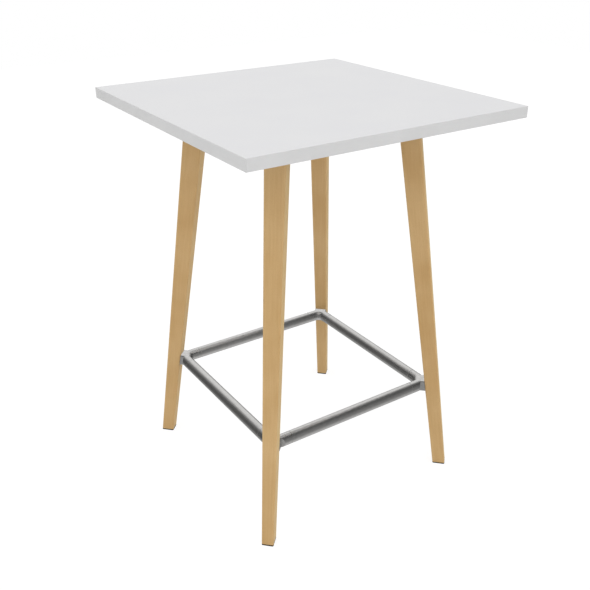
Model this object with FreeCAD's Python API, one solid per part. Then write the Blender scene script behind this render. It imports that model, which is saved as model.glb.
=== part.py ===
# Pub table: a square laminated top on four splayed, tapered wooden legs, which a square ring of
# polished tube ties together low down as a foot rail.
#
# Frame: millimetres, +Z up, origin on the floor under the middle of the top. X and Y run along the
# sides of the top. The legs stand on the diagonals, so what belongs to a corner is modelled once
# with its diagonal along +X and then turned about Z to each corner. What belongs to a side is
# modelled once on the +X side and turned in the same way.

import FreeCAD, Part
import math
import os

from FreeCAD import Vector

# --- Driving dimensions -------------------------------------------------------------------------

# Top
table_height = 1100.0           # floor to the upper face
top_side = 800.0                # square top, over the edging
top_thickness = 28.0            # board with both laminates
laminate_thickness = 0.8        # decorative sheet above, balancing sheet below
edging_thickness = 2.0          # strips glued to the four edges of the board
top_corner_radius = 3.0         # upright corners
top_arris_radius = 1.2          # upper and lower rims of the edging

# Legs: depth is measured along the diagonal and width across it, both level with the floor
leg_top_setback = 287.2         # from the top's corner to the middle of the leg's upper end
leg_foot_setback = 127.7        # from the top's corner, seen from above, to the middle of the foot
leg_top_depth = 55.0
leg_top_width = 53.4
leg_foot_depth = 36.6
leg_foot_width = 32.4
leg_top_arris = 5.0             # rounding of the long arrises at the upper end
leg_foot_arris = 3.6            # the same at the foot
foot_chamfer = 1.0

# Steel plate between each leg and the top
plate_side = 120.0
plate_thickness = 5.0
plate_corner_radius = 12.0

# Wood screws that hold the plates under the top, in two rows on each plate
screw_diameter = 4.5
screw_length = 25.0
screw_tip_length = 5.0
screw_head_diameter = 9.0
screw_edge_distance = 13.0      # from the plate's edge to the middle of a screw
screws_per_row = 2

# Countersunk socket bolts and threaded inserts that hold the legs to the plates
bolt_diameter = 8.0
bolt_length = 35.0
bolt_head_diameter = 16.0
bolt_socket_flats = 5.0
bolt_socket_depth = 2.8
bolt_spacing = 26.0
insert_diameter = 12.0
insert_length = 25.0

# Foot rail: four tubes and four cast elbows, each elbow drawn to its leg by a stud
ring_setback = 5.6              # from the leg to the corner of the ring's centre line
rail_height = 275.0             # floor to the tube's axis
tube_diameter = 33.7
tube_wall = 1.5
elbow_bend_radius = 28.0        # of the elbow's centre line, seen on the inner side
bend_relief = 0.05              # how far the bend's surface lies inside that of the arms
elbow_arm = 53.0                # from the corner of the ring's centre line to the tube's end
elbow_crop = 13.5               # from the leg to the upright flat that crops the outer corner
spigot_length = 24.0            # part of the elbow that lies inside the tube
joint_chamfer = 0.5             # on both rims where a tube meets an elbow
seat_width = 38.0               # block between that flat and the leg
seat_height = 33.0
seat_arris = 3.0                # rounding of the block's four long edges
stud_diameter = 8.0
stud_length = 44.0
stud_in_elbow = 17.0
rail_insert_recess = 1.0        # from the lowest part of the insert hole's mouth to the insert

# Foot pads, each held by a screw in a pocket of the pad
pad_thickness = 3.0
pad_inset = 0.6                 # behind the outline of the foot
pad_screw_diameter = 3.0
pad_screw_length = 18.0
pad_screw_head_diameter = 7.0
pad_screw_head_height = 1.0
pad_pocket_diameter = 9.0
pad_pocket_depth = 1.6

# Clearances
thread_clearance = 0.1          # around a screw, bolt, stud or insert in its hole
shank_clearance = 0.3           # around a shank that passes through a plate or pad
spigot_clearance = 0.15         # around a spigot in its tube
hole_spare_depth = 2.0          # how much deeper a blind hole is than what it holds

# --- Derived sizes and places -------------------------------------------------------------------

underside = table_height - top_thickness
leg_top = underside - plate_thickness
board_half = top_side / 2 - edging_thickness
board_low = underside + laminate_thickness
board_high = table_height - laminate_thickness
tube_bore = tube_diameter - 2 * tube_wall
up = Vector(0, 0, 1)
down = Vector(0, 0, -1)
outward = Vector(1, 0, 0)
origin = Vector(0, 0, 0)
corner_names = ("back_right", "back_left", "front_left", "front_right")
side_names = ("right", "back", "left", "front")
corner_turns = {name: 90 * step + 45 for step, name in enumerate(corner_names)}
side_turns = {name: 90 * step for step, name in enumerate(side_names)}
leg_top_reach = top_side / math.sqrt(2) - leg_top_setback
leg_foot_reach = top_side / math.sqrt(2) - leg_foot_setback


def along_leg(foot_value, top_value, height):
    """A leg's size or place at a height, between its values at the foot and at the upper end."""
    share = (height - pad_thickness) / (leg_top - pad_thickness)
    return foot_value + (top_value - foot_value) * share


def leg_inner_face(height):
    """Distance from the table's axis to the leg's inner face."""
    reach = along_leg(leg_foot_reach, leg_top_reach, height)
    return reach - along_leg(leg_foot_depth, leg_top_depth, height) / 2


# The ring is as large as the legs allow, so its place follows from that of their inner faces.
seat_reach = leg_inner_face(rail_height)
crop_reach = seat_reach - elbow_crop
corner_reach = seat_reach - ring_setback
bend_axis_reach = corner_reach - elbow_bend_radius * math.sqrt(2)
rail_reach = corner_reach / math.sqrt(2)

# The leg leans away from the table's axis, so an insert hole's mouth is deepest at its lower rim.
insert_mouth_reach = leg_inner_face(rail_height - insert_diameter / 2)
rail_insert_reach = insert_mouth_reach + rail_insert_recess
stud_start_reach = seat_reach - stud_in_elbow

# --- Helpers ------------------------------------------------------------------------------------


def write(name, solids):
    """Saves one node as a STEP file: a single solid, or a group of separate ones."""
    shape = solids[0] if len(solids) == 1 else Part.makeCompound(solids)
    shape.exportStep(os.path.join("parts", name + ".step"))


def turned(shape, angle):
    """A copy of a shape, turned about the table's axis."""
    copy = shape.copy()
    copy.rotate(origin, up, angle)
    return copy


def at_every_corner(shapes):
    """Copies of some shapes at all four corners."""
    return [turned(shape, angle) for angle in corner_turns.values() for shape in shapes]


def block(low, high):
    """A block between two opposite corners."""
    size = high - low
    return Part.makeBox(size.x, size.y, size.z, low)


def rod(diameter, length, start, direction):
    """A solid cylinder."""
    return Part.makeCylinder(diameter / 2, length, start, direction)


def lathe(profile, start, direction):
    """A solid turned about an axis, from the corners of its half section as (distance, diameter)."""
    across = outward if abs(direction.z) > 0.5 else up
    corners = [start + direction * distance + across * (diameter / 2) for distance, diameter in profile]
    return Part.Face(Part.makePolygon(corners + corners[:1])).revolve(start, direction, 360)


def countersunk_hole(head, hole, depth, mouth, direction):
    """The void for a countersunk screw's head and shank in a plate of a given thickness."""
    profile = [(0, 0), (0, head), ((head - hole) / 2, hole), (depth, hole), (depth, 0)]
    return lathe(profile, mouth, direction)


def rounded_outline(reach, depth, width, radius, height):
    """A level rectangle with rounded corners, whose middle lies at a reach along +X."""
    far = depth / 2 - radius
    side = width / 2 - radius
    middle = Vector(reach, 0, height)
    centres = [Vector(far, side, 0), Vector(-far, side, 0), Vector(-far, -side, 0), Vector(far, -side, 0)]
    arcs = [
        Part.makeCircle(radius, middle + centre, up, 90 * turn, 90 * (turn + 1))
        for turn, centre in enumerate(centres)
    ]
    edges = []
    for arc, following in zip(arcs, arcs[1:] + arcs[:1]):
        edges.append(arc)
        edges.append(Part.makeLine(arc.lastVertex().Point, following.firstVertex().Point))
    return Part.Wire(edges)


def edges_where(shape, test):
    """The edges of a shape that have every vertex where a test says."""
    return [edge for edge in shape.Edges if all(test(vertex.Point) for vertex in edge.Vertexes)]


def same(value, target):
    """Whether two coordinates are equal, but for rounding."""
    return abs(value - target) < 1e-6


# --- Table top ----------------------------------------------------------------------------------


def plate_screw_points():
    """The middles of one plate's wood screws, level with the underside of the top."""
    offset = plate_side / 2 - screw_edge_distance
    step = 2 * offset / (screws_per_row - 1)
    return [
        Vector(leg_top_reach - offset + step * place, side * offset, underside)
        for place in range(screws_per_row)
        for side in (-1, 1)
    ]


def make_top():
    """The board, its two laminates and four edging strips."""
    half = top_side / 2
    slab = block(Vector(-half, -half, underside), Vector(half, half, table_height))
    uprights = [edge for edge in slab.Edges if same(abs(edge.tangentAt(edge.FirstParameter).z), 1)]
    slab = slab.makeFillet(top_corner_radius, uprights)
    rims = edges_where(slab, lambda p: same(p.z, table_height))
    rims += edges_where(slab, lambda p: same(p.z, underside))
    slab = slab.makeFillet(top_arris_radius, rims)
    for side, angle in side_turns.items():
        reach = board_half if side in ("left", "right") else half
        strip = block(Vector(board_half, -reach, underside), Vector(half, reach, table_height))
        write("edging_" + side, slab.common(turned(strip, angle)).Solids)

    depth = screw_length - plate_thickness + hole_spare_depth
    pilot = screw_diameter + 2 * thread_clearance
    pilots = at_every_corner([rod(pilot, depth, point, up) for point in plate_screw_points()])
    sheets = {"top_backer": (underside, board_low), "top_board": (board_low, board_high)}
    for name, (low, high) in sheets.items():
        sheet = block(Vector(-board_half, -board_half, low), Vector(board_half, board_half, high))
        write(name, sheet.cut(Part.makeCompound(pilots)).Solids)
    low = Vector(-board_half, -board_half, board_high)
    write("top_laminate", [block(low, Vector(board_half, board_half, table_height))])


# --- Legs and what holds them to the top --------------------------------------------------------


def bolt_points():
    """The middles of one leg's bolts, level with the underside of the top."""
    return [Vector(leg_top_reach + side * bolt_spacing / 2, 0, underside) for side in (-1, 1)]


def leg_outline(height, inset=0.0):
    """The leg's level section at a height, or one set in from it on all sides."""
    reach = along_leg(leg_foot_reach, leg_top_reach, height)
    depth = along_leg(leg_foot_depth, leg_top_depth, height) - 2 * inset
    width = along_leg(leg_foot_width, leg_top_width, height) - 2 * inset
    arris = along_leg(leg_foot_arris, leg_top_arris, height) - inset
    return rounded_outline(reach, depth, width, arris, height)


def leg_blank():
    """A leg with no holes: a ruled taper with a chamfered foot."""
    foot = leg_outline(pad_thickness, foot_chamfer)
    return Part.makeLoft([foot, leg_outline(pad_thickness + foot_chamfer), leg_outline(leg_top)], True, True)


def make_legs():
    """The four legs, bored for their inserts, rail studs and pad screws."""
    insert_bore = insert_diameter + 2 * thread_clearance
    bores = []
    for point in bolt_points():
        mouth = Vector(point.x, point.y, leg_top)
        bores.append(rod(insert_bore, insert_length, mouth, down))
        tip_depth = bolt_length - plate_thickness + hole_spare_depth
        bores.append(rod(bolt_diameter + 2 * thread_clearance, tip_depth, mouth, down))
    mouth = Vector(seat_reach - insert_diameter, 0, rail_height)
    insert_end = rail_insert_reach + insert_length
    stud_end = stud_start_reach + stud_length + hole_spare_depth
    bores.append(rod(insert_bore, insert_end - mouth.x, mouth, outward))
    bores.append(rod(stud_diameter + 2 * thread_clearance, stud_end - mouth.x, mouth, outward))
    foot = Vector(leg_foot_reach, 0, pad_thickness)
    bores.append(rod(pad_screw_diameter + 2 * thread_clearance, pad_screw_length, foot, up))
    leg = leg_blank().cut(Part.makeCompound(bores))
    for corner, angle in corner_turns.items():
        write("leg_" + corner, [turned(leg.Solids[0], angle)])


def threaded_insert(thread_diameter, mouth, direction):
    """A sleeve that is screwed into the wood and takes a bolt or stud."""
    bore = thread_diameter + 2 * thread_clearance
    profile = [(0, bore), (0, insert_diameter), (insert_length, insert_diameter), (insert_length, bore)]
    return lathe(profile, mouth, direction)


def hexagonal_socket(flats, depth, mouth, direction):
    """The void that a hexagonal key goes into."""
    radius = flats / math.sqrt(3)
    corners = [
        mouth + Vector(radius * math.cos(turn), radius * math.sin(turn), 0)
        for turn in (math.radians(60 * step) for step in range(7))
    ]
    return Part.Face(Part.makePolygon(corners)).extrude(direction * depth)


def make_plates_and_bolts():
    """The steel plates, and the bolts and inserts that draw the legs up to them."""
    outline = rounded_outline(leg_top_reach, plate_side, plate_side, plate_corner_radius, leg_top)
    plate = Part.Face(outline).extrude(up * plate_thickness)
    bolts = []
    inserts = []
    bolt_hole = bolt_diameter + 2 * shank_clearance
    head_depth = (bolt_head_diameter - bolt_diameter) / 2
    profile = [(0, 0), (0, bolt_head_diameter), (head_depth, bolt_diameter)]
    profile += [(bolt_length, bolt_diameter), (bolt_length, 0)]
    for point in bolt_points():
        plate = plate.cut(countersunk_hole(bolt_head_diameter, bolt_hole, plate_thickness, point, down))
        socket = hexagonal_socket(bolt_socket_flats, bolt_socket_depth, point, down)
        bolts.append(lathe(profile, point, down).cut(socket))
        inserts.append(threaded_insert(bolt_diameter, Vector(point.x, point.y, leg_top), down))
    screw_hole = screw_diameter + 2 * shank_clearance
    for point in plate_screw_points():
        face = point + down * plate_thickness
        plate = plate.cut(countersunk_hole(screw_head_diameter, screw_hole, plate_thickness, face, up))
    for corner, angle in corner_turns.items():
        write("leg_plate_" + corner, [turned(plate.Solids[0], angle)])
    write("leg_bolts", [bolt.Solids[0] for bolt in at_every_corner(bolts)])
    write("leg_inserts", at_every_corner(inserts))


def make_plate_screws():
    """The countersunk wood screws."""
    head_depth = (screw_head_diameter - screw_diameter) / 2
    profile = [(0, 0), (0, screw_head_diameter), (head_depth, screw_diameter)]
    profile += [(screw_length - screw_tip_length, screw_diameter), (screw_length, 0)]
    screws = [lathe(profile, point + down * plate_thickness, up) for point in plate_screw_points()]
    write("plate_screws", at_every_corner(screws))


# --- Foot rail ----------------------------------------------------------------------------------


def make_rails():
    """The four tubes, with a small chamfer on both outer rims."""
    half = rail_reach - elbow_arm
    rim = tube_diameter - 2 * joint_chamfer
    profile = [(0, tube_bore), (0, rim), (joint_chamfer, tube_diameter)]
    profile += [(2 * half - joint_chamfer, tube_diameter), (2 * half, rim), (2 * half, tube_bore)]
    tube = lathe(profile, Vector(rail_reach, -half, rail_height), Vector(0, 1, 0))
    for side, angle in side_turns.items():
        write("foot_rail_" + side, [turned(tube, angle)])


def elbow_arm_solid(side):
    """One straight arm of the elbow, from the ring's corner to the end of its spigot."""
    towards = Vector(-1, side, 0).normalize()
    spigot = tube_bore - 2 * spigot_clearance
    end = elbow_arm + spigot_length
    profile = [(0, 0), (0, tube_diameter)]
    profile += [(elbow_arm - joint_chamfer, tube_diameter), (elbow_arm, tube_diameter - 2 * joint_chamfer)]
    profile += [(elbow_arm, spigot), (end, spigot), (end, 0)]
    return lathe(profile, Vector(corner_reach, 0, rail_height), towards)


def elbow_seat():
    """The block on the elbow's flat, which ends in the slope of the leg's inner face."""
    low = rail_height - seat_height / 2
    high = rail_height + seat_height / 2
    outline = [(crop_reach, low), (leg_inner_face(low), low), (leg_inner_face(high), high)]
    outline += [(crop_reach, high), (crop_reach, low)]
    section = Part.Face(Part.makePolygon([Vector(x, -seat_width / 2, z) for x, z in outline]))
    seat = section.extrude(Vector(0, seat_width, 0))
    long_edges = [edge for edge in seat.Edges if same(abs(edge.tangentAt(edge.FirstParameter).x), 1)]
    return seat.makeFillet(seat_arris, long_edges)


def elbow_body():
    """The bend and both arms, run on to the ring's corner and cropped there by an upright flat."""
    bend_centre = Vector(bend_axis_reach, 0, rail_height)
    section_centre = bend_centre - Vector(0, elbow_bend_radius, 0)
    ring = Part.makeCircle(tube_diameter / 2 - bend_relief, section_centre, outward)
    section = Part.Face(Part.Wire(ring))
    section.rotate(bend_centre, up, 45)
    bend = section.revolve(bend_centre, up, 90)
    body = elbow_arm_solid(-1).fuse(elbow_arm_solid(1)).fuse(bend)
    low = Vector(crop_reach, -elbow_arm, rail_height - tube_diameter)
    high = Vector(corner_reach + tube_diameter, elbow_arm, rail_height + tube_diameter)
    return body.cut(block(low, high))


def make_elbows():
    """The cast elbows, each with a block that seats on the leg and a blind hole for the stud."""
    elbow = elbow_body().fuse(elbow_seat())
    bore_start = Vector(stud_start_reach - hole_spare_depth, 0, rail_height)
    bore_length = leg_foot_reach - bore_start.x
    elbow = elbow.cut(rod(stud_diameter + 2 * thread_clearance, bore_length, bore_start, outward))
    for corner, angle in corner_turns.items():
        write("rail_elbow_" + corner, [turned(elbow.Solids[0], angle)])


def make_studs():
    """The studs between elbows and legs, and the inserts that hold them in the wood."""
    stud = rod(stud_diameter, stud_length, Vector(stud_start_reach, 0, rail_height), outward)
    insert = threaded_insert(stud_diameter, Vector(rail_insert_reach, 0, rail_height), outward)
    write("rail_studs", at_every_corner([stud]))
    write("rail_inserts", at_every_corner([insert]))


# --- Feet ---------------------------------------------------------------------------------------


def make_feet():
    """The pads under the legs and the screws that hold them."""
    outline = leg_outline(pad_thickness, pad_inset)
    outline.translate(down * pad_thickness)
    floor_point = Vector(leg_foot_reach, 0, 0)
    pad = Part.Face(outline).extrude(up * pad_thickness)
    pad = pad.cut(rod(pad_pocket_diameter, pad_pocket_depth, floor_point, up))
    pad = pad.cut(rod(pad_screw_diameter + 2 * shank_clearance, pad_thickness, floor_point, up))
    end = pad_screw_head_height + pad_screw_length
    profile = [(0, 0), (0, pad_screw_head_diameter), (pad_screw_head_height, pad_screw_head_diameter)]
    profile += [(pad_screw_head_height, pad_screw_diameter), (end, pad_screw_diameter), (end, 0)]
    head_face = floor_point + up * (pad_pocket_depth - pad_screw_head_height)
    for corner, angle in corner_turns.items():
        write("foot_pad_" + corner, [turned(pad.Solids[0], angle)])
    write("pad_screws", at_every_corner([lathe(profile, head_face, up)]))


os.makedirs("parts", exist_ok=True)
make_top()
make_legs()
make_plates_and_bolts()
make_plate_screws()
make_rails()
make_elbows()
make_studs()
make_feet()
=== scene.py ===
# %% [markdown]
# # A pub table with a laminated top, beech legs and a polished foot rail
#
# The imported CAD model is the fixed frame: it says where every piece is and how large it is. This
# lesson dresses it. Each piece gets a mesh with the small roundings that a real edge has, and a
# material that starts from what the real one is made of.

# %% The frame
import math

import bmesh
import bpy
import numpy as np
from mathutils import Matrix, Vector


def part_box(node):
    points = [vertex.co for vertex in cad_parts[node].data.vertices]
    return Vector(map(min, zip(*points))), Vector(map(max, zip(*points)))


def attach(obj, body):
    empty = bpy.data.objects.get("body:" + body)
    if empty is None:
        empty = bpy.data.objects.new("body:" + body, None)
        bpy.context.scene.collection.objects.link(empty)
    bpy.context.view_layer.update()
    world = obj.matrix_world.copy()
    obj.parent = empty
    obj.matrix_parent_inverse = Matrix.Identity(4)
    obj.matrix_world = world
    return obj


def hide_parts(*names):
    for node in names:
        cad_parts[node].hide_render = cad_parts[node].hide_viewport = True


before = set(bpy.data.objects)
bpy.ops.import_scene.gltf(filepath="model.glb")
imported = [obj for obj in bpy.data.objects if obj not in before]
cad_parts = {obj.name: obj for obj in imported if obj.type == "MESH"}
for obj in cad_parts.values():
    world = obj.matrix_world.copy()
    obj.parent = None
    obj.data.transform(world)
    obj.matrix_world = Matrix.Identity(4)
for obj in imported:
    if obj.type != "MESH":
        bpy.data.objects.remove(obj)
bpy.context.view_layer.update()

# %% [markdown]
# ## The camera
#
# The lens and the place of the camera decide how strongly the legs seem to splay. Seen from above
# and from nearby, the feet are much farther off than the top, so they seem to stand closer
# together. The place is in metres in the table's own frame, and the picture is square.

# %% The camera
CAMERA_PLACE = (-1.1257, -1.6608, 1.5341)
CAMERA_TURN = (63.399, 0.0, -33.687)            # degrees, about X, Y and Z
CAMERA_LENS, SENSOR_WIDTH = 47.28, 36.0         # mm

camera = bpy.data.objects.new("camera", bpy.data.cameras.new("camera"))
camera.data.lens = CAMERA_LENS
camera.data.sensor_width = SENSOR_WIDTH
camera.location = CAMERA_PLACE
camera.rotation_euler = [math.radians(turn) for turn in CAMERA_TURN]
bpy.context.scene.collection.objects.link(camera)
bpy.context.scene.camera = camera
print("camera looks down by", round(90 - CAMERA_TURN[0], 1), "degrees")

# %% [markdown]
# ## Colours, pattern sizes and nodes
#
# A colour is written as the hex value that a screen shows, so one function turns it into the linear
# value that Blender wants. Pattern sizes are written in millimetres: a noise texture's scale is how
# many of its cells fit into a metre.
#
# Geometry and materials are both built from nodes. One small function adds a node, sets it and
# feeds its inputs, whichever kind it is. Some kinds have several inputs of one name, of which only
# one is in use, and those inputs are picked by number.

# %% Colours and pattern sizes
MM = 0.001


def linear(hex_colour):
    """An sRGB hex colour as linear red, green, blue and alpha."""
    channels = [int(hex_colour[start:start + 2], 16) / 255 for start in (1, 3, 5)]
    return [c / 12.92 if c <= 0.04045 else ((c + 0.055) / 1.055) ** 2.4 for c in channels] + [1.0]


def per_metre(millimetres):
    """A texture scale at which one cell of the pattern measures that many millimetres."""
    return 1 / (millimetres * MM)


print("one noise cell of 2 mm needs a scale of", per_metre(2))


# %% Adding a node
def feed(tree, socket, value):
    """Sets an input to a plain value, or links it to a node's output.

    A node that is given as the value stands for the first of its outputs that is in use.
    """
    if isinstance(value, bpy.types.Node):
        value = next(output for output in value.outputs if output.enabled)
    if isinstance(value, bpy.types.NodeSocket):
        tree.links.new(value, socket)
    else:
        socket.default_value = value


def set_stops(ramp, stops):
    """Sets a colour ramp by stops: a position, and a hex colour or the level of a grey."""
    while len(ramp.elements) < len(stops):
        ramp.elements.new(0.5)
    for element, (position, colour) in zip(ramp.elements, stops):
        element.position = position
        element.color = linear(colour) if isinstance(colour, str) else (colour, colour, colour, 1)


def add(tree, kind, inputs=None, **settings):
    """Adds a node with its settings and inputs. The stops of a ramp are one of its settings."""
    made = tree.nodes.new(kind)
    for name, value in settings.items():
        if name == "stops":
            set_stops(made.color_ramp, value)
        else:
            setattr(made, name, value)
    for name, value in (inputs or {}).items():
        feed(tree, made.inputs[name], value)
    return made


# %% [markdown]
# ## Mottled finishes
#
# No real surface has one colour and one gloss. Most of this table's finishes are almost even, with
# a faint pattern of one size in colour and gloss, and a relief that is too fine to model. An image
# would have to be unwrapped and would blur close up, so noise in the piece's own coordinates makes
# both. What is the same all over a piece is set on the shader's own input.

# %% Making a mottled finish
def new_material(name):
    """An empty material, its tree and its Principled shader."""
    material = bpy.data.materials.new(name)
    material.use_nodes = True
    return material, material.node_tree, material.node_tree.nodes["Principled BSDF"]


def feed_shader(tree, shader, colour, roughness, relief, depth):
    """Feeds a shader its colour, its roughness and a relief of a real depth in metres."""
    bump = add(tree, "ShaderNodeBump", {"Height": relief, "Distance": depth, "Strength": 1.0})
    for name, value in (("Base Color", colour), ("Roughness", roughness), ("Normal", bump)):
        feed(tree, shader.inputs[name], value)


def mottled_finish(name, cell, detail, stops, roughness, depth, relief=None, even=None):
    """A finish whose colour and roughness follow one noise pattern.

    cell is the size of the pattern in millimetres. The relief follows it too, unless it has a
    size and a detail of its own. even holds what is the same all over.
    """
    material, tree, shader = new_material(name)
    place = add(tree, "ShaderNodeTexCoord").outputs["Object"]
    patterns = [
        add(tree, "ShaderNodeTexNoise", {"Vector": place, "Scale": per_metre(size), "Detail": fine})
        for size, fine in [(cell, detail)] + ([relief] if relief else [])]
    colour = add(tree, "ShaderNodeValToRGB", {"Fac": patterns[0]}, stops=stops)
    rough = add(tree, "ShaderNodeMapRange", {
        "Value": patterns[0], "To Min": roughness[0], "To Max": roughness[1]})
    feed_shader(tree, shader, colour, rough, patterns[-1], depth)
    for title, value in (even or {}).items():
        feed(tree, shader.inputs[title], value)
    print("made", name)
    return material


# %% [markdown]
# ## Material: white decorative laminate
#
# High-pressure laminate is melamine resin over white paper, pressed against a plate with a fine
# matt texture. It looks even and slightly cool, and its highlights are wide and soft, because the
# texture is finer than a grain of sand. The grain is 0.35 mm, and broad wiping marks, a hand wide,
# change the gloss a little.

# %% White decorative laminate
white_laminate = mottled_finish(
    "white_melamine_laminate", cell=160, detail=3.0, stops=[(0.3, "#E6E6E8"), (0.7, "#E9E9EA")],
    roughness=(0.40, 0.50), relief=(0.35, 2.0), depth=0.01 * MM)

# %% [markdown]
# ## Material: white edging strip
#
# The strips on the edges are extruded ABS. The extrusion leaves a faint eggshell texture that is
# coarser than the laminate's. The strips are coloured a touch greyer than the melamine beside them:
# part of that grey is painted shade, which darkens the upright edges beside the lit top.

# %% White edging strip
# the grey of these stops is partly painted shade for the upright edges
white_edging = mottled_finish(
    "white_abs_edging", cell=90, detail=2.0, stops=[(0.3, "#D2D2D2"), (0.7, "#D6D6D6")],
    roughness=(0.44, 0.54), relief=(0.8, 1.0), depth=0.015 * MM)

# %% [markdown]
# ## Material: beech under clear satin lacquer
#
# Beech is pale and even: faint straight growth lines about 4 mm apart run along the leg, with
# short dark ray flecks a few millimetres long and soft patches of warmer and cooler tone. The
# lacquer adds a thin satin coat, and the fibres under it give the wood a warm sheen, so a face seen
# at a slant looks paler than one seen square on.
#
# Grain in the table's own coordinates would run askew in a leaning leg. So each leg carries grain
# coordinates as an attribute, which lean with it and start from another place in the board for
# every leg. A noise that is stretched along the grain makes the lines, and cells that are stretched
# less make the flecks.

# %% Beech
GRAIN = "grain_place"                           # attribute: metres, the last one along the grain
LINE_WIDTH, FLECK_WIDTH, PATCH_SIZE = 4, 1.1, 140       # mm
LINE_SQUASH, FLECK_SQUASH = 0.035, 0.22         # of coordinates along the grain: less is longer


def make_beech():
    material, tree, shader = new_material("lacquered_beech")
    place = add(tree, "ShaderNodeAttribute", attribute_name=GRAIN).outputs["Vector"]
    patches = add(tree, "ShaderNodeTexNoise", {
        "Vector": place, "Scale": per_metre(PATCH_SIZE), "Detail": 2.0})
    long = add(tree, "ShaderNodeMapping", {"Vector": place, "Scale": (1.0, 1.0, LINE_SQUASH)})
    lines = add(tree, "ShaderNodeTexNoise", {
        "Vector": long, "Scale": per_metre(LINE_WIDTH), "Detail": 5.0, "Roughness": 0.6,
        "Distortion": 0.4})
    short = add(tree, "ShaderNodeMapping", {"Vector": place, "Scale": (1.0, 1.0, FLECK_SQUASH)})
    rays = add(tree, "ShaderNodeTexVoronoi", {"Vector": short, "Scale": per_metre(FLECK_WIDTH)})
    flecks = add(tree, "ShaderNodeMapRange", {      # strongest in the middle of a cell
        "Value": rays, "From Min": 0.16, "From Max": 0.32, "To Min": 0.35, "To Max": 0.0})
    growth = add(tree, "ShaderNodeValToRGB", {"Fac": lines},
                 stops=[(0.28, "#CEA972"), (0.5, "#D2AE78"), (0.75, "#D6B47F")])
    tone = add(tree, "ShaderNodeValToRGB", {"Fac": patches},
               stops=[(0.3, "#F2EBDD"), (0.7, "#FFFFFF")])
    toned = add(tree, "ShaderNodeMix", {0: 1.0, 6: growth, 7: tone},
                data_type="RGBA", blend_type="MULTIPLY")
    flecked = add(tree, "ShaderNodeMix", {0: flecks, 6: toned, 7: linear("#B08450")},
                  data_type="RGBA")
    rough = add(tree, "ShaderNodeMapRange", {"Value": lines, "To Min": 0.42, "To Max": 0.56})
    feed_shader(tree, shader, flecked, rough, lines, 0.03 * MM)
    for title, value in (("Coat Weight", 0.15), ("Coat Roughness", 0.3), ("Sheen Weight", 0.85),
                         ("Sheen Tint", linear("#FFE8AE")), ("Sheen Roughness", 0.35)):
        feed(tree, shader.inputs[title], value)
    return material


beech = make_beech()
print("made", beech.name)

# %% [markdown]
# ## Material: polished chrome
#
# The rail is steel, polished and chromed. Chrome is a metal with hardly any colour of its own, so
# nearly all that it shows is the room. Here the polish is a satin one, which blurs what it mirrors.
# Polishing also leaves the metal a little uneven: small smears change the gloss, and faint waves of
# about a centimetre bend the reflections. The castings at the corners are polished a little
# smoother than the drawn tubes, and their waves are shorter.

# %% Polished chrome
chrome_tube, chrome_casting = [
    mottled_finish("polished_chrome_" + kind, cell=9, detail=4.0, stops=stops, roughness=roughness,
                   relief=(wave, 1.0), depth=0.02 * MM, even={"Metallic": 1.0})
    for kind, stops, roughness, wave in (
        ("tube", [(0.3, "#C6C5C3"), (0.7, "#D1D0CE")], (0.26, 0.32), 14),
        ("casting", [(0.3, "#C4C3C1"), (0.7, "#CFCECC")], (0.22, 0.28), 8))]

# %% [markdown]
# ## Materials: the small parts
#
# The plates under the top are powder coated: black, with an orange-peel surface. The fasteners are
# zinc plated, a pale grey metal with a milky bloom. The pads are moulded black plastic, dull enough
# to stay dark beside a pale floor. The core of the top is particle board, pressed from chips a few
# millimetres long. Noise has no edges, so the chips are the cells of a Voronoi pattern.

# %% Powder coat, zinc and black plastic
powder_coat = mottled_finish(
    "black_powder_coat", cell=0.9, detail=2.0, stops=[(0.3, "#151515"), (0.7, "#1D1D1E")],
    roughness=(0.42, 0.58), depth=0.06 * MM)
zinc = mottled_finish(
    "bright_zinc_plate", cell=1.6, detail=4.0,
    stops=[(0.3, "#AEB2B8"), (0.55, "#C3C6CA"), (0.8, "#D2CFC6")],
    roughness=(0.24, 0.44), depth=0.01 * MM, even={"Metallic": 1.0})
black_plastic = mottled_finish(
    "moulded_black_plastic", cell=0.6, detail=3.0, stops=[(0.3, "#060606"), (0.7, "#0C0C0C")],
    roughness=(0.7, 0.85), depth=0.04 * MM, even={"Specular IOR Level": 0.2})

# %% Particle board
CHIP_SIZE = 3                                   # mm


def make_particle_board():
    material, tree, shader = new_material("particle_board")
    place = add(tree, "ShaderNodeTexCoord").outputs["Object"]
    chips = add(tree, "ShaderNodeTexVoronoi", {"Vector": place, "Scale": per_metre(CHIP_SIZE)})
    shade = add(tree, "ShaderNodeSeparateColor", {"Color": chips.outputs["Color"]})
    colour = add(tree, "ShaderNodeValToRGB", {"Fac": shade},
                 stops=[(0.0, "#9A7748"), (0.5, "#BC9A67"), (1.0, "#D3B788")])
    feed_shader(tree, shader, colour, 0.8, chips, 0.15 * MM)
    return material


particle_board = make_particle_board()
print("materials:", sorted(material.name for material in bpy.data.materials))

# %% [markdown]
# ## Helpers for pieces
#
# A finished piece is one plain mesh at the origin. Modifiers do the rounding, and their result is
# baked into the mesh. Weighted normals keep flat faces flat beside a small rounding, which matters
# on anything shiny. Every piece then rides on the table's one body and stands for its CAD node,
# which is hidden.

# %% Putting a mesh into the scene
def new_piece(name, mesh, material=None):
    """Puts a mesh into the scene as a named object."""
    thing = bpy.data.objects.new(name, mesh)
    bpy.context.scene.collection.objects.link(thing)
    if material:
        mesh.materials.clear()
        mesh.materials.append(material)
    return thing


def bake(thing):
    """Replaces an object's mesh by what its modifiers make of it."""
    evaluated = thing.evaluated_get(bpy.context.evaluated_depsgraph_get())
    result = bpy.data.meshes.new_from_object(evaluated)
    thing.modifiers.clear()
    thing.data = result


# %% Even shading, and standing for a CAD node
SHARP = 30                                      # degrees: an edge with a larger angle stays sharp
BODY = "root"


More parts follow.
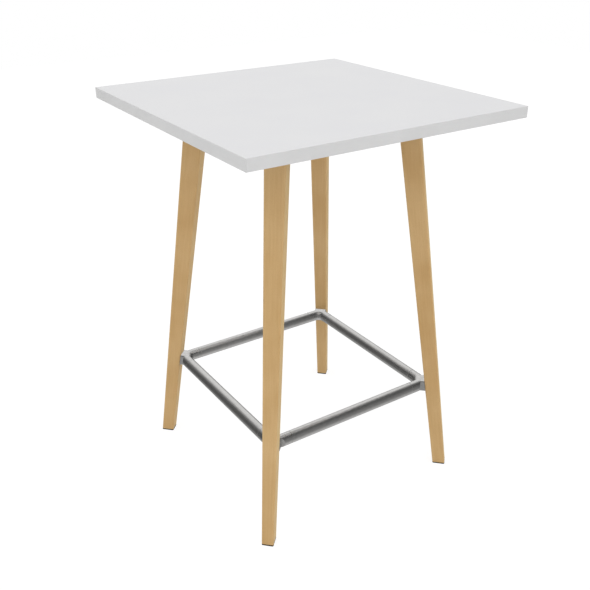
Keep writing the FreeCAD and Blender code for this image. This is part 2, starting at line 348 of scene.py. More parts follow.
def even_normals(thing, sharp=SHARP):
    """Smooth shading that keeps large faces flat and sharp edges sharp."""
    shape = bmesh.new()
    shape.from_mesh(thing.data)
    limit = math.radians(sharp)
    for edge in shape.edges:
        edge.smooth = len(edge.link_faces) == 2 and edge.calc_face_angle() < limit
    for face in shape.faces:
        face.smooth = True
    shape.to_mesh(thing.data)
    shape.free()
    weigh = thing.modifiers.new("even normals", "WEIGHTED_NORMAL")
    weigh.keep_sharp = True
    weigh.weight = 100                          # the highest: large faces decide
    bake(thing)


def stand_for(thing, node):
    """Gives a piece its body and hides the CAD node that it stands for."""
    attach(thing, BODY)
    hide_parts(node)
    print(thing.name, len(thing.data.polygons), "faces")


# %% [markdown]
# ## Rounding a CAD shape
#
# The top, the edging and the plates are already right in the CAD model, apart from their edges,
# which are perfectly sharp there. Modelling them anew could only make them less exact. So a copy of
# the node is welded, its coplanar triangles are joined, and a small bevel with two segments catches
# the light as a real edge does.

# %% A softened copy of a CAD node
WELD = 0.002 * MM                               # points of a CAD mesh that are nearer are one point
COPLANAR = 0.5                                  # degrees
BEVELLED = 40                                   # degrees: an edge with a larger angle is rounded
BEVEL_SEGMENTS = 2


def softened(name, node, rounding, material):
    """A piece with a CAD node's shape, its edges rounded by that many metres."""
    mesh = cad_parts[node].data.copy()
    shape = bmesh.new()
    shape.from_mesh(mesh)
    bmesh.ops.remove_doubles(shape, verts=shape.verts, dist=WELD)
    bmesh.ops.dissolve_limit(shape, angle_limit=math.radians(COPLANAR), verts=shape.verts,
                             edges=shape.edges)
    shape.to_mesh(mesh)
    shape.free()
    thing = new_piece(name, mesh, material)
    bevel = thing.modifiers.new("rounding", "BEVEL")
    bevel.width = rounding
    bevel.segments = BEVEL_SEGMENTS
    bevel.limit_method = "ANGLE"
    bevel.angle_limit = math.radians(BEVELLED)
    bake(thing)
    even_normals(thing)
    stand_for(thing, node)
    return thing


# %% [markdown]
# ## The top
#
# The laminate ends at the edging, with a hair-fine joint between them. It shows because the edges
# on both sides of it are broken by about a tenth of a millimetre. The balancing sheet below is the
# same laminate, and keeps the board from bending. The board between them is wholly enclosed, so it
# keeps its CAD shape.

# %% Laminate and edging
SHEET_EDGE, STRIP_EDGE = 0.12 * MM, 0.1 * MM

softened("laminate_sheet", "top_laminate", SHEET_EDGE, white_laminate)
for side in ("front", "right", "back", "left"):
    softened("edging_strip_" + side, "edging_" + side, STRIP_EDGE, white_edging)
softened("balancing_sheet", "top_backer", SHEET_EDGE, white_laminate)

# %% [markdown]
# ## Measuring the legs
#
# A leg stands on a diagonal of the table. Turning its CAD mesh back by its corner's angle puts that
# diagonal along +X, and then the lowest and highest points of a level section are its depth, its
# width and its distance from the table's axis. All four legs are alike, so one is measured.

# %% Sections of a leg
CORNER_TURNS = {"back_right": 45, "back_left": 135, "front_left": 225, "front_right": 315}
FOOT_CHAMFER = 1.0 * MM
LEVEL_SLACK = 0.01 * MM

turn_back = Matrix.Rotation(-math.radians(CORNER_TURNS["back_right"]), 3, "Z")
leg_points = np.array([turn_back @ vertex.co
                       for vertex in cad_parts["leg_back_right"].data.vertices])


def level_section(height):
    """Reach, depth and width of the leg's section at a height, in metres."""
    level = leg_points[abs(leg_points[:, 2] - height) < LEVEL_SLACK]
    low, high = level.min(0), level.max(0)
    section = [float(size) for size in ((low[0] + high[0]) / 2, high[0] - low[0], high[1] - low[1])]
    print("reach, depth and width in mm:", [round(size / MM, 1) for size in section])
    return section


foot_height, top_height = float(leg_points[:, 2].min()), float(leg_points[:, 2].max())
foot_reach, foot_depth, foot_width = level_section(foot_height + FOOT_CHAMFER)
top_reach, top_depth, top_width = level_section(top_height)

# %% [markdown]
# ## Geometry trees
#
# A tree of geometry nodes makes what follows a rule, such as a taper, a sweep along a path or a
# shape set out on points. Its sizes are named inputs, so one tree serves all the pieces of a kind.
# The inputs of its modifier are set by identifier, before the first evaluation. The tree ends by
# making instances real and setting the material, and the result is kept as a plain mesh.

# %% Starting, ending and running a tree
def new_tree(name, sizes):
    """A geometry tree with a mesh input, a mesh output and named inputs."""
    tree = bpy.data.node_groups.new(name, "GeometryNodeTree")
    tree.interface.new_socket("Geometry", in_out="INPUT", socket_type="NodeSocketGeometry")
    tree.interface.new_socket("Geometry", in_out="OUTPUT", socket_type="NodeSocketGeometry")
    for title, kind in sizes.items():
        tree.interface.new_socket(title, in_out="INPUT", socket_type="NodeSocket" + kind)
    tree.is_modifier = True
    return tree, tree.nodes.new("NodeGroupInput").outputs


def end_tree(tree, geometry, material):
    """Makes instances real, shades smooth but for sharp edges and sets the material."""
    angle = add(tree, "GeometryNodeInputMeshEdgeAngle")
    sharp = add(tree, "FunctionNodeCompare", {0: angle, 1: math.radians(SHARP)},
                data_type="FLOAT", operation="GREATER_THAN")
    real = add(tree, "GeometryNodeRealizeInstances", {"Geometry": geometry})
    smooth = add(tree, "GeometryNodeSetShadeSmooth", {"Geometry": real, "Shade Smooth": True},
                 domain="FACE")
    edges = add(tree, "GeometryNodeSetShadeSmooth",
                {"Geometry": smooth, "Selection": sharp, "Shade Smooth": False}, domain="EDGE")
    painted = add(tree, "GeometryNodeSetMaterial", {"Geometry": edges, "Material": material})
    feed(tree, tree.nodes.new("NodeGroupOutput").inputs[0], painted)
    print("tree", tree.name, "has", len(tree.nodes), "nodes")


def grow(name, mesh, tree, values):
    """Runs a tree on a mesh with named input values and keeps the result as a plain mesh."""
    thing = new_piece(name, mesh)
    modifier = thing.modifiers.new(tree.name, "NODES")
    modifier.node_group = tree
    for item in tree.interface.items_tree:
        if item.in_out == "INPUT" and item.name in values:
            modifier[item.identifier] = values[item.name]
    bake(thing)
    return thing


def line_mesh(points, turn=0):
    """A mesh of one line through some points, turned about the table's axis."""
    mesh = bpy.data.meshes.new("line")
    mesh.from_pydata(points, [(step, step + 1) for step in range(len(points) - 1)], [])
    mesh.transform(Matrix.Rotation(math.radians(turn), 4, "Z"))
    return mesh


# %% [markdown]
# ## The legs: a rule in Geometry Nodes
#
# A leg is a square post that gets thinner and moves outwards in a straight line from top to foot.
# It could be a block with one end scaled and shifted by hand. As a rule it follows the measured
# sizes instead, and takes its chamfer, its grain and its turn in the same go. So the tree takes an
# upright line, sweeps a rounded square of one metre along it and then moves every point by the
# rule. The line is the object's own mesh, so it can have a level exactly where the foot's chamfer
# starts. Before the points move, the tree stores the grain coordinates.
#
# The finished legs are left out of what polished metal mirrors: blurred by the satin polish, they
# would run along the whole rail as brown streaks.

# %% The leg tree
ARRIS_POINTS = 6                                # points that round each long edge


def make_leg_tree():
    sizes = dict.fromkeys((
        "Foot Height", "Top Height", "Foot Reach", "Top Reach", "Foot Depth", "Top Depth",
        "Foot Width", "Top Width", "Arris Share", "Chamfer", "Turn"), "Float")
    tree, given = new_tree("tapered leg", sizes | {"Grain Start": "Vector"})
    line = add(tree, "GeometryNodeMeshToCurve", {"Mesh": given["Geometry"]})
    square = add(tree, "GeometryNodeCurvePrimitiveQuadrilateral", {"Width": 1.0, "Height": 1.0})
    soft = add(tree, "GeometryNodeFilletCurve", {
        "Curve": square, "Radius": given["Arris Share"], "Count": ARRIS_POINTS}, mode="POLY")
    blank = add(tree, "GeometryNodeCurveToMesh", {
        "Curve": line, "Profile Curve": soft, "Fill Caps": True})
    place = add(tree, "ShaderNodeSeparateXYZ", {0: add(tree, "GeometryNodeInputPosition")})
    x, y, z = place.outputs

    def tapered(size):
        """A size at this point's height, between its values at the foot and at the top."""
        return add(tree, "ShaderNodeMapRange", {
            "Value": z, "From Min": given["Foot Height"], "From Max": given["Top Height"],
            "To Min": given["Foot " + size], "To Max": given["Top " + size]}, clamp=False)

    # The chamfer narrows the section on both sides, from nothing at its upper end.
    chamfer_top = add(tree, "ShaderNodeMath", {0: given["Foot Height"], 1: given["Chamfer"]},
                      operation="ADD")
    both_sides = add(tree, "ShaderNodeMath", {0: given["Chamfer"], 1: 2.0}, operation="MULTIPLY")
    inset = add(tree, "ShaderNodeMapRange", {
        "Value": z, "From Min": given["Foot Height"], "From Max": chamfer_top,
        "To Min": both_sides, "To Max": 0.0})
    depth = add(tree, "ShaderNodeMath", {0: tapered("Depth"), 1: inset}, operation="SUBTRACT")
    width = add(tree, "ShaderNodeMath", {0: tapered("Width"), 1: inset}, operation="SUBTRACT")
    across = add(tree, "ShaderNodeMath", {0: x, 1: depth}, operation="MULTIPLY")
    aside = add(tree, "ShaderNodeMath", {0: y, 1: width}, operation="MULTIPLY")

    grain = add(tree, "ShaderNodeVectorMath", {
        0: add(tree, "ShaderNodeCombineXYZ", {0: across, 1: aside, 2: z}),
        1: given["Grain Start"]}, operation="ADD")
    stored = add(tree, "GeometryNodeStoreNamedAttribute", {
        "Geometry": blank, "Name": GRAIN, "Value": grain}, data_type="FLOAT_VECTOR", domain="POINT")
    outwards = add(tree, "ShaderNodeMath", {0: tapered("Reach"), 1: across}, operation="ADD")
    there = add(tree, "ShaderNodeCombineXYZ", {0: outwards, 1: aside, 2: z})
    shaped = add(tree, "GeometryNodeSetPosition", {"Geometry": stored, "Position": there})
    turned = add(tree, "GeometryNodeTransform", {
        "Geometry": shaped, "Rotation": add(tree, "ShaderNodeCombineXYZ", {2: given["Turn"]})})
    end_tree(tree, turned, beech)
    return tree


leg_tree = make_leg_tree()

# %% The four legs
LEG_LEVELS = 24                                 # levels between the chamfer and the top
ARRIS = 5.0 * MM                                # rounding of the long edges at the upper end
BOARD = 5.0                                     # metres of board that the grain is drawn from
grain_draw = np.random.default_rng(7)

leg_heights = [foot_height] + list(np.linspace(foot_height + FOOT_CHAMFER, top_height, LEG_LEVELS))
leg_sizes = {
    "Foot Height": foot_height, "Top Height": top_height,
    "Foot Reach": foot_reach, "Top Reach": top_reach,
    "Foot Depth": foot_depth, "Top Depth": top_depth,
    "Foot Width": foot_width, "Top Width": top_width,
    "Arris Share": ARRIS / top_depth, "Chamfer": FOOT_CHAMFER}
for corner, turn in CORNER_TURNS.items():
    grain_start = [float(start) for start in grain_draw.uniform(0, BOARD, 3)]
    leg = grow("beech_leg_" + corner, line_mesh([(0, 0, height) for height in leg_heights]),
               leg_tree, leg_sizes | {"Turn": math.radians(turn), "Grain Start": grain_start})
    even_normals(leg)
    stand_for(leg, "leg_" + corner)
    leg.visible_glossy = False

# %% [markdown]
# ## The foot rail: a swept circle
#
# The rail is drawn steel tube, cut square. A ready-made cylinder would do for a tube, but not for
# the elbows between them. Both are a circle swept along a path, so they share one sweep. The path
# is the object's own mesh. The radius shrinks at the two end points only, which leaves a small
# chamfer on both rims, so a tube and an elbow meet in a fine groove.

# %% The sweep
RAIL_SIZES = {"Diameter": "Float", "Rim Chamfer": "Float", "Sides": "Int"}


def swept(tree, given):
    """Sweeps a circle along the object's own line, with both end points on a smaller radius."""
    path = add(tree, "GeometryNodeMeshToCurve", {"Mesh": given["Geometry"]})
    radius = add(tree, "ShaderNodeMath", {0: given["Diameter"], 1: 0.5}, operation="MULTIPLY")
    rim = add(tree, "ShaderNodeMath", {0: radius, 1: given["Rim Chamfer"]}, operation="SUBTRACT")
    ends = add(tree, "GeometryNodeCurveEndpointSelection", {"Start Size": 1, "End Size": 1})
    size = add(tree, "GeometryNodeSwitch", {"Switch": ends, "False": radius, "True": rim},
               input_type="FLOAT")
    upright = add(tree, "GeometryNodeSetCurveNormal", {"Curve": path}, mode="Z_UP")
    sized = add(tree, "GeometryNodeSetCurveRadius", {"Curve": upright, "Radius": size})
    circle = add(tree, "GeometryNodeCurvePrimitiveCircle", {
        "Resolution": given["Sides"], "Radius": 1.0})
    return add(tree, "GeometryNodeCurveToMesh", {
        "Curve": sized, "Profile Curve": circle, "Fill Caps": True,
        "Scale": add(tree, "GeometryNodeInputRadius")})


tube_tree, tube_given = new_tree("swept tube", RAIL_SIZES)
end_tree(tube_tree, swept(tube_tree, tube_given), chrome_tube)

# %% The four tubes
JOINT_CHAMFER = 0.5 * MM
SIDE_TURNS = {"right": 0, "back": 90, "left": 180, "front": 270}

rail_low, rail_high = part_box("foot_rail_right")
tube_half = rail_high.y
rail_reach = (rail_low.x + rail_high.x) / 2
rail_height = (rail_low.z + rail_high.z) / 2
rail_sizes = {"Diameter": rail_high.z - rail_low.z, "Rim Chamfer": JOINT_CHAMFER, "Sides": 128}
tube_path = [(rail_reach, place, rail_height) for place in (
    -tube_half, JOINT_CHAMFER - tube_half, 0.0, tube_half - JOINT_CHAMFER, tube_half)]
for side, turn in SIDE_TURNS.items():
    tube = grow("rail_tube_" + side, line_mesh(tube_path, turn), tube_tree, rail_sizes)
    stand_for(tube, "foot_rail_" + side)
print("diameter and reach of the rail in mm:", round(rail_sizes["Diameter"] / MM, 2),
      round(rail_reach / MM, 2))

# %% [markdown]
# ## The elbows: a sweep with a rule
#
# An elbow is a casting that joins two tubes and carries a seat for the leg. Its path runs from one
# shoulder straight to the bend, round a quarter circle and out again. That gives the inner side of
# the casting. On the outer side the arms run straight on towards the corner instead, and an upright
# flat crops them, so the casting stays clear of the leg. It could be cut from solids, but such cuts
# leave hard edges where a casting has soft ones. So two rules move the swept points there. With the
# diagonal along +X:
#
# 1. a point outside the path's own radius moves away from the bend's axis, onto the straight arm:
#    its distance from that axis is divided by the cosine of its angle from the bend's end;
# 2. a point beyond the flat moves back onto it. A smooth minimum leaves the flat's rim rounded.

# %% The elbow tree
BEND_END = 45                                   # degrees from the diagonal to the bend's ends


def make_elbow_tree():
    sizes = ("Bend Axis", "Bend Radius", "Crop Reach", "Crop Rounding", "Turn")
    tree, given = new_tree("swept elbow", RAIL_SIZES | dict.fromkeys(sizes, "Float"))
    place = add(tree, "ShaderNodeSeparateXYZ", {0: add(tree, "GeometryNodeInputPosition")})
    x, y, z = place.outputs
    from_axis = add(tree, "ShaderNodeMath", {0: x, 1: given["Bend Axis"]}, operation="SUBTRACT")
    level = add(tree, "ShaderNodeCombineXYZ", {0: from_axis, 1: y})
    distance = add(tree, "ShaderNodeVectorMath", {0: level}, operation="LENGTH")
    signed = add(tree, "ShaderNodeMath", {0: y, 1: from_axis}, operation="ARCTAN2")
    angle = add(tree, "ShaderNodeMath", {0: signed}, operation="ABSOLUTE")
    from_end = add(tree, "ShaderNodeMath", {0: math.radians(BEND_END), 1: angle},
                   operation="SUBTRACT")

    # The first rule, for points that are in the bend and outside the path's radius.
    outside = add(tree, "ShaderNodeMath", {0: distance, 1: given["Bend Radius"]},
                  operation="GREATER_THAN")
    in_bend = add(tree, "ShaderNodeMath", {0: from_end, 1: 0.0}, operation="GREATER_THAN")
    moves = add(tree, "ShaderNodeMath", {0: outside, 1: in_bend}, operation="MULTIPLY")
    cosine = add(tree, "ShaderNodeMath", {0: from_end}, operation="COSINE")
    stretch = add(tree, "ShaderNodeMath", {0: 1.0, 1: cosine}, operation="DIVIDE")
    factor = add(tree, "ShaderNodeMix", {0: moves, 2: 1.0, 3: stretch}, data_type="FLOAT")
    straight_from_axis = add(tree, "ShaderNodeMath", {0: from_axis, 1: factor},
                             operation="MULTIPLY")
    straight_x = add(tree, "ShaderNodeMath", {0: given["Bend Axis"], 1: straight_from_axis},
                     operation="ADD")
    straight_y = add(tree, "ShaderNodeMath", {0: y, 1: factor}, operation="MULTIPLY")

    # The second rule, the crop.
    cropped_x = add(tree, "ShaderNodeMath", {
        0: straight_x, 1: given["Crop Reach"], 2: given["Crop Rounding"]}, operation="SMOOTH_MIN")
    there = add(tree, "ShaderNodeCombineXYZ", {0: cropped_x, 1: straight_y, 2: z})
    shaped = add(tree, "GeometryNodeSetPosition", {
        "Geometry": swept(tree, given), "Position": there})
    turned = add(tree, "GeometryNodeTransform", {
        "Geometry": shaped, "Rotation": add(tree, "ShaderNodeCombineXYZ", {2: given["Turn"]})})
    end_tree(tree, turned, chrome_casting)
    return tree


elbow_tree = make_elbow_tree()

# %% The elbow's path
BEND_RADIUS = 28.0 * MM
BEND_STEPS = 96
ARM_START, ARM_POINTS = 4.0 * MM, 8             # an arm's own points start this far along it

corner_reach = rail_reach * math.sqrt(2)
bend_axis = corner_reach - BEND_RADIUS * math.sqrt(2)
elbow_arm = rail_reach - tube_half


def elbow_path():
    """Shoulder, straight arm, quarter bend, straight arm, shoulder: with the diagonal along +X."""
    levels = np.linspace(elbow_arm - ARM_START, BEND_RADIUS, ARM_POINTS + 1)[:-1]
    first_arm = [(corner_reach - distance / math.sqrt(2), -distance / math.sqrt(2), rail_height)
                 for distance in (elbow_arm, elbow_arm - JOINT_CHAMFER, *levels)]
    bend = []
    for step in range(BEND_STEPS + 1):
        angle = math.radians(-BEND_END + 2 * BEND_END * step / BEND_STEPS)
        bend.append((bend_axis + BEND_RADIUS * math.cos(angle), BEND_RADIUS * math.sin(angle),
                     rail_height))
    return first_arm + bend + [(x, -y, z) for x, y, z in reversed(first_arm)]


print("elbow path has", len(elbow_path()), "points, arm in mm:", round(elbow_arm / MM, 1))

# %% Where the flat is
CROP = 13.5 * MM                                # from the leg to the upright flat
CROP_ROUNDING = 1.6 * MM


def leg_inner_face(height):
    """Distance from the table's axis to the leg's inner face, along the diagonal."""
    share = (height - foot_height) / (top_height - foot_height)
    low, high = foot_reach - foot_depth / 2, top_reach - top_depth / 2
    return low + (high - low) * share


crop_reach = leg_inner_face(rail_height) - CROP
print("leg face and flat in mm:", [round(reach / MM, 1) for reach in (
    leg_inner_face(rail_height), crop_reach)])

# %% [markdown]
# ## The seat block
#
# On the flat stands a block that seats on the leg, so its far end has the slope of the leg's inner
# face. A cube would need shearing for that, so its eight corners are placed one by one. Its long
# edges are rounded by 3 mm and the rim at the leg is just broken. Block and elbow are one casting,
# so their meshes are united.

# %% The seat block
SEAT_WIDTH, SEAT_HEIGHT, SEAT_ARRIS, SEAT_RIM = 38.0 * MM, 33.0 * MM, 3.0 * MM, 0.6 * MM
ARRIS_SEGMENTS, RIM_SEGMENTS = 8, 3
SEAT_ROOT = 2.0 * MM                            # how far the block reaches into the casting
print("the block is", round(SEAT_WIDTH / MM), "mm wide and stands", round(CROP / MM, 1), "mm proud")


def seat_mesh(turn):
    """The block from the flat to the leg, with its edges rounded."""
    shape = bmesh.new()
    corners = {}
    for end in (0, 1):
        for side in (-1, 1):
            for level in (-1, 1):
                z = rail_height + level * SEAT_HEIGHT / 2
                x = leg_inner_face(z) if end else crop_reach - SEAT_ROOT
                corners[end, side, level] = shape.verts.new((x, side * SEAT_WIDTH / 2, z))
    around = [(-1, -1), (1, -1), (1, 1), (-1, 1)]
    shape.faces.new([corners[0, *here] for here in reversed(around)])
    shape.faces.new([corners[1, *here] for here in around])
    for here, there in zip(around, around[1:] + around[:1]):
        shape.faces.new([corners[0, *here], corners[0, *there], corners[1, *there],
                         corners[1, *here]])
    long_edges = [shape.edges.get((corners[0, *here], corners[1, *here])) for here in around]
    bmesh.ops.bevel(shape, geom=long_edges, offset=SEAT_ARRIS, segments=ARRIS_SEGMENTS,
                    profile=0.5, affect="EDGES")
    back = max(shape.faces, key=lambda face: face.calc_center_median().x)
    bmesh.ops.bevel(shape, geom=list(back.edges), offset=SEAT_RIM, segments=RIM_SEGMENTS,
                    profile=0.5, affect="EDGES")
    bmesh.ops.recalc_face_normals(shape, faces=shape.faces)
    mesh = bpy.data.meshes.new("seat")
    shape.to_mesh(mesh)
    shape.free()
    mesh.transform(Matrix.Rotation(math.radians(turn), 4, "Z"))
    return mesh


# %% The four castings
CAST_SHARP = 35                                 # degrees: a casting's edges are softer


def combine(thing, mesh, operation):
    """Unites a mesh with an object's own, or cuts it away, leaving one closed surface."""
    material = thing.data.materials[0] if thing.data.materials else None
    other = new_piece("other", mesh, material)
    boolean = thing.modifiers.new("boolean", "BOOLEAN")
    boolean.operation = operation
    boolean.solver = "EXACT"
    boolean.object = other
    bake(thing)
    bpy.data.objects.remove(other)


elbow_sizes = rail_sizes | {
    "Bend Axis": bend_axis, "Bend Radius": BEND_RADIUS, "Crop Reach": crop_reach,
    "Crop Rounding": CROP_ROUNDING}
for corner, turn in CORNER_TURNS.items():
    elbow = grow("rail_elbow_cast_" + corner, line_mesh(elbow_path()), elbow_tree,
                 elbow_sizes | {"Turn": math.radians(turn)})
    combine(elbow, seat_mesh(turn), "UNION")
    even_normals(elbow, CAST_SHARP)
    stand_for(elbow, "rail_elbow_" + corner)

# %% [markdown]
# ## Foot pads and plates
#
# A pad is moulded a little wider than the chamfered end of its leg, so a thin dark line shows all
# round the foot. The plates under the top are laser cut, and their powder coat rounds the edges.
# Both are softened CAD shapes.

# %% Foot pads and plates
PAD_EDGE, PLATE_EDGE = 0.2 * MM, 0.35 * MM
PAD_GROWTH = 1.034                              # brings the pad out to the leg's own outline

for corner in CORNER_TURNS:
    pad = softened("pad_" + corner, "foot_pad_" + corner, PAD_EDGE, black_plastic)
    low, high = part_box("foot_pad_" + corner)
    middle = Vector(((low.x + high.x) / 2, (low.y + high.y) / 2, 0))
    pad.data.transform(Matrix.Translation(middle)
                       @ Matrix.Diagonal((PAD_GROWTH, PAD_GROWTH, 1, 1))
                       @ Matrix.Translation(-middle))
    softened("steel_plate_" + corner, "leg_plate_" + corner, PLATE_EDGE, powder_coat)

# %% [markdown]
# ## The screws: one shape on many points
#
# Four wood screws hold each plate, and one holds each pad. Modelling twenty of them would be
# tedious, and twenty exact copies would look machine-set. So a screw is turned from a profile once,
# and two crossed wedges are cut into its head for the driver. A tree then sets the finished shape
# out on points and turns each screw by an angle of its own, as screws stop where they bite. The
# points come from the CAD solids. They are sorted, so that the random turns are the same in every
# run.

# %% Where the CAD screws are
def solid_boxes(node):
    """Low and high corner of each separate solid in a CAD node, in a fixed order."""
    shape = bmesh.new()
    shape.from_mesh(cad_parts[node].data)
    bmesh.ops.remove_doubles(shape, verts=shape.verts, dist=WELD)
    waiting, boxes = set(shape.verts), []
    while waiting:
        reached, edge_of_reach = set(), [waiting.pop()]
        while edge_of_reach:
            vertex = edge_of_reach.pop()
            reached.add(vertex)
            near = [edge.other_vert(vertex) for edge in vertex.link_edges]
            edge_of_reach += [other for other in near if other in waiting]
            waiting.difference_update(near)
        places = np.array([vertex.co for vertex in reached])
        boxes.append((places.min(0), places.max(0)))
    shape.free()
    return sorted(boxes, key=lambda box: [round(float(value), 4) for value in box[0]])


def head_points(node):
    """A mesh with one vertex in the middle of each upright screw's lower end."""
    mesh = bpy.data.meshes.new("heads")
    mesh.from_pydata([((low[0] + high[0]) / 2, (low[1] + high[1]) / 2, low[2])
                      for low, high in solid_boxes(node)], [], [])
    print(node, "has", len(mesh.vertices), "heads")
    return mesh


# %% A turned shape
SCREW_SIDES = 40


def turned_mesh(profile):
    """A closed mesh from (radius, height) points that start and end on the axis, turned about Z."""
    places, faces = [(0, 0, profile[0][1])], []
    for radius, height in profile[1:-1]:
        for step in range(SCREW_SIDES):
            angle = 2 * math.pi * step / SCREW_SIDES
            places.append((radius * math.cos(angle), radius * math.sin(angle), height))
    places.append((0, 0, profile[-1][1]))
    rings = len(profile) - 2
    for step in range(SCREW_SIDES):
        after = (step + 1) % SCREW_SIDES
        faces.append((0, 1 + after, 1 + step))
        for ring in range(rings - 1):
            low, high = 1 + ring * SCREW_SIDES, 1 + (ring + 1) * SCREW_SIDES
            faces.append((low + step, low + after, high + after, high + step))
        last = 1 + (rings - 1) * SCREW_SIDES
        faces.append((last + step, last + after, len(places) - 1))
    mesh = bpy.data.meshes.new("turned")
    mesh.from_pydata(places, [], faces)
    return mesh


# %% One screw with a cross recess
RECESS_WIDTH, RECESS_DEPTH = 0.22, 0.42         # shares of the recess's length
TIP_LENGTH, TIP_WIDTH = 0.18, 0.4               # half the wedge's tip, as shares of its foot
CUTTER_LEAD = 0.1 * MM                          # how far below the head the wedge starts


def wedge_mesh(length, width, depth):
    """A slot cutter that narrows upwards and starts a little below the head."""
    foot = (length / 2, width / 2, -CUTTER_LEAD)
    tip = (length * TIP_LENGTH, width * TIP_WIDTH, depth)
    around = [(-1, -1), (1, -1), (1, 1), (-1, 1)]
    places = [(side * x, face * y, z) for x, y, z in (foot, tip) for side, face in around]
    walls = [(corner, (corner + 1) % 4, (corner + 1) % 4 + 4, corner + 4) for corner in range(4)]
    mesh = bpy.data.meshes.new("wedge")
    mesh.from_pydata(places, [], [(3, 2, 1, 0), (4, 5, 6, 7)] + walls)
    return mesh


def cross_head_screw(profile, recess):
    """A screw turned from a profile, with a cross recess of the given length in its lower end."""
    screw = new_piece("screw", turned_mesh([(radius * MM, height * MM)
                                            for radius, height in profile]))
    for turn in (0, 90):
        wedge = wedge_mesh(recess * MM, recess * RECESS_WIDTH * MM, recess * RECESS_DEPTH * MM)
        wedge.transform(Matrix.Rotation(math.radians(turn), 4, "Z"))
        combine(screw, wedge, "DIFFERENCE")
    print("turned a screw with", len(screw.data.polygons), "faces")
    return screw


# %% The tree that sets them out
def make_setting_tree():
    tree, given = new_tree("set out on points", {"Piece": "Object", "Seed": "Int"})
    points = add(tree, "GeometryNodeMeshToPoints", {"Mesh": given["Geometry"]})
    piece = add(tree, "GeometryNodeObjectInfo", {"Object": given["Piece"]})
    turn = add(tree, "FunctionNodeRandomValue", {2: 0.0, 3: math.tau, 8: given["Seed"]},
               data_type="FLOAT")
    placed = add(tree, "GeometryNodeInstanceOnPoints", {
        "Points": points, "Instance": piece.outputs["Geometry"],
        "Rotation": add(tree, "ShaderNodeCombineXYZ", {2: turn})})
    end_tree(tree, placed, zinc)
    return tree


setting_tree = make_setting_tree()

# %% Plate screws and pad screws
# Radius and height in mm, from the middle of the head to the point.
PLATE_SCREW = [(0, 0), (4.3, 0), (4.45, 0.12), (2.2, 2.3), (2.2, 20.0), (0.25, 24.9), (0, 25.0)]
PAD_SCREW = [(0, 0), (3.3, 0), (3.5, 0.2), (3.5, 1.0), (1.48, 1.0), (1.48, 17.0), (0.2, 18.9),
             (0, 19.0)]
PLATE_RECESS, PAD_RECESS = 5.2, 3.6             # mm

for node, profile, recess, seed in (("plate_screws", PLATE_SCREW, PLATE_RECESS, 3),
                                    ("pad_screws", PAD_SCREW, PAD_RECESS, 5)):
    screw = cross_head_screw(profile, recess)
    screws = grow("cross_head_" + node, head_points(node), setting_tree,
                  {"Piece": screw, "Seed": seed})
    bpy.data.objects.remove(screw)
    stand_for(screws, node)

# %% [markdown]
# ## Hidden pieces
#
# The bolts and inserts of the legs, the studs and inserts of the rail and the board in the top are
# all enclosed. Nobody sees them on the finished table, so they keep their plain CAD shape, and get
# the material that they are made of in case somebody takes the table apart.

# %% Hidden pieces keep their CAD shape
for node, material in (("top_board", particle_board), ("leg_bolts", zinc), ("leg_inserts", zinc),
                       ("rail_studs", zinc), ("rail_inserts", zinc)):
    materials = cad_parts[node].data.materials
    materials.clear()
    materials.append(material)
    print(node, "is", material.name)

# %% [markdown]
# ## The stage
#
# The floor should be almost white and still carry the table's shadow. Brighter light would whiten
# it, but would wash out the table too. So a large share of what the camera sees of the floor glows
# by itself, and the rest is lit and shadowed. Metal doesn't mirror this floor: the studio has its
# own below. The floor is clear from below, so that a camera can look up at the underside.

# %% The stage
STAGE_SIDE = 14.0
FLOOR_COLOUR, FLOOR_ROUGHNESS = "#F0F0F0", 0.9
FLOOR_GLOW, FLOOR_GLOW_SHARE = 1.13, 0.75       # the share is of what the camera sees


def make_floor_material():
    material, tree, shader = new_material("pale_floor")
    feed(tree, shader.inputs["Base Color"], linear(FLOOR_COLOUR))
    feed(tree, shader.inputs["Roughness"], FLOOR_ROUGHNESS)
    asks = add(tree, "ShaderNodeLightPath")
    glow = add(tree, "ShaderNodeEmission", {"Color": (1, 1, 1, 1), "Strength": FLOOR_GLOW})
    share = add(tree, "ShaderNodeMath", {0: asks.outputs["Is Camera Ray"], 1: FLOOR_GLOW_SHARE},
                operation="MULTIPLY")
    mixed = add(tree, "ShaderNodeMixShader", {0: share, 1: shader, 2: glow})
    from_below = add(tree, "ShaderNodeNewGeometry").outputs["Backfacing"]
    clear = add(tree, "ShaderNodeBsdfTransparent")
    one_sided = add(tree, "ShaderNodeMixShader", {0: from_below, 1: mixed, 2: clear})
    feed(tree, tree.nodes["Material Output"].inputs["Surface"], one_sided)
    return material


half = STAGE_SIDE / 2
floor_mesh = bpy.data.meshes.new("floor")
floor_mesh.from_pydata([(-half, -half, 0), (half, -half, 0), (half, half, 0), (-half, half, 0)], [],
                       [(0, 1, 2, 3)])
floor = new_piece("floor", floor_mesh, make_floor_material())
floor.visible_glossy = False
print("floor of", STAGE_SIDE, "metres")

# %% [markdown]
# ## The studio
#
# A table could be lit by lamps, but each would leave a hard spot on the metal. So the world is the
# whole studio. Light Path tells it what asks:
#
# - The camera sees plain white.
# - Diffuse light is a soft dome, stronger from both sides of the room and from high above the front
#   corner. That lifts the narrow side faces of the legs and keeps both edges of the top alike.
# - Polished metal needs something to mirror: one broad bright window, high at the back, in a darker
#   room, and a floor that is lighter straight below. Bright and dark then run along each tube.

# %% The soft light
SIDE, OTHER_SIDE = (0.707, -0.707, 0.0), (-0.707, 0.707, 0.0)
FRONT = (-0.43, -0.41, 0.80)                    # high above the front corner
DOME_LIGHT, SIDE_LIGHT, FRONT_LIGHT = 0.43, 1.32, 1.30
SIDE_FOCUS, FRONT_FOCUS = 2.0, 9.0              # a higher focus makes a smaller bright part
print("the dome is brighter at the sides by", SIDE_LIGHT, "and at the front by", FRONT_LIGHT)


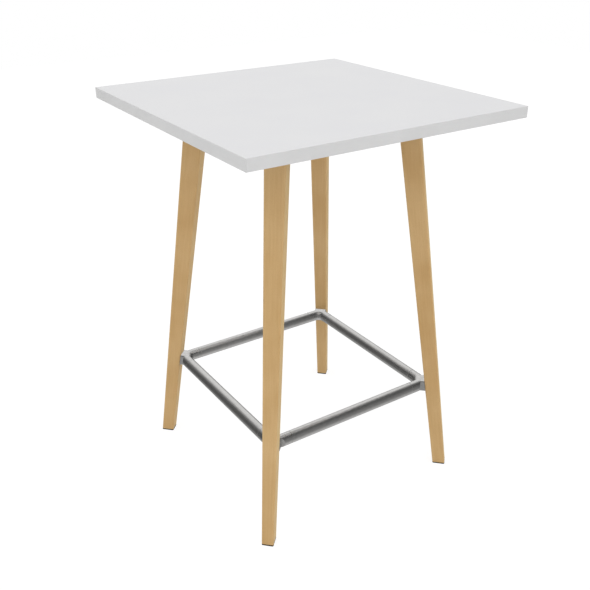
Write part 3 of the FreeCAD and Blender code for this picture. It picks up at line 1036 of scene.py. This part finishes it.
def bright_part(tree, direction, axis, focus, light):
    """Light from round an axis: the cosine to it, never below zero, to the power of the focus."""
    cosine = add(tree, "ShaderNodeVectorMath", {0: direction, 1: axis}, operation="DOT_PRODUCT")
    ahead = add(tree, "ShaderNodeMath", {0: cosine, 1: 0.0}, operation="MAXIMUM")
    focused = add(tree, "ShaderNodeMath", {0: ahead, 1: focus}, operation="POWER")
    return add(tree, "ShaderNodeMath", {0: focused, 1: light}, operation="MULTIPLY")


def soft_light(tree, direction):
    """Strength of the diffuse light from a direction."""
    total = DOME_LIGHT
    for axis, focus, light in ((SIDE, SIDE_FOCUS, SIDE_LIGHT), (OTHER_SIDE, SIDE_FOCUS, SIDE_LIGHT),
                               (FRONT, FRONT_FOCUS, FRONT_LIGHT)):
        part = bright_part(tree, direction, axis, focus, light)
        total = add(tree, "ShaderNodeMath", {0: part, 1: total}, operation="ADD")
    return total


# %% The mirrored room
BRIGHT_SIDE = (0.42, 0.74, 0.53)                # direction of the broad bright window
WINDOW = [(-1.0, 0.20), (-0.6, 0.26), (-0.1, 0.14), (0.1, 0.09), (0.45, 0.08), (0.6, 0.16),
          (0.7, 0.23), (0.8, 0.39), (0.88, 0.78), (1.0, 0.96)]  # cosine to that direction; light
FLOOR_LIGHT = 0.50                              # added straight below, where Z is -1
FLOOR_END = -0.3                                # Z at which that light has faded out
ROOM_STRENGTH = 1.08
print("the window is", round(WINDOW[-1][1] / min(light for _, light in WINDOW)),
      "times as bright as the darkest part of the room")


def mirrored_room(tree, direction):
    """Colour that polished metal sees in a direction."""
    cosine = add(tree, "ShaderNodeVectorMath", {0: direction, 1: BRIGHT_SIDE},
                 operation="DOT_PRODUCT")
    place = add(tree, "ShaderNodeMapRange", {"Value": cosine, "From Min": -1.0, "From Max": 1.0})
    window = add(tree, "ShaderNodeValToRGB", {"Fac": place},
                 stops=[((toward + 1) / 2, light) for toward, light in WINDOW])
    z = add(tree, "ShaderNodeSeparateXYZ", {0: direction}).outputs["Z"]
    below = add(tree, "ShaderNodeMapRange", {
        "Value": z, "From Min": -1.0, "From Max": FLOOR_END, "To Min": FLOOR_LIGHT, "To Max": 0.0})
    return add(tree, "ShaderNodeVectorMath", {0: window, 1: below}, operation="ADD")


# %% The world
WHITE = (1, 1, 1, 1)


def make_world():
    world = bpy.data.worlds.new("studio")
    world.use_nodes = True
    tree = world.node_tree
    asks = add(tree, "ShaderNodeLightPath").outputs
    direction = add(tree, "ShaderNodeTexCoord").outputs["Generated"]
    soft, room, plain = [
        add(tree, "ShaderNodeBackground", {"Color": colour, "Strength": strength})
        for colour, strength in ((WHITE, soft_light(tree, direction)),
                                 (mirrored_room(tree, direction), ROOM_STRENGTH), (WHITE, 1.0))]
    lit = add(tree, "ShaderNodeMixShader", {0: asks["Is Glossy Ray"], 1: soft, 2: room})
    seen = add(tree, "ShaderNodeMixShader", {0: asks["Is Camera Ray"], 1: lit, 2: plain})
    feed(tree, tree.nodes["World Output"].inputs["Surface"], seen)
    bpy.context.scene.world = world
    print("world has", len(tree.nodes), "nodes")


make_world()
bpy.context.scene.view_settings.view_transform = "Standard"
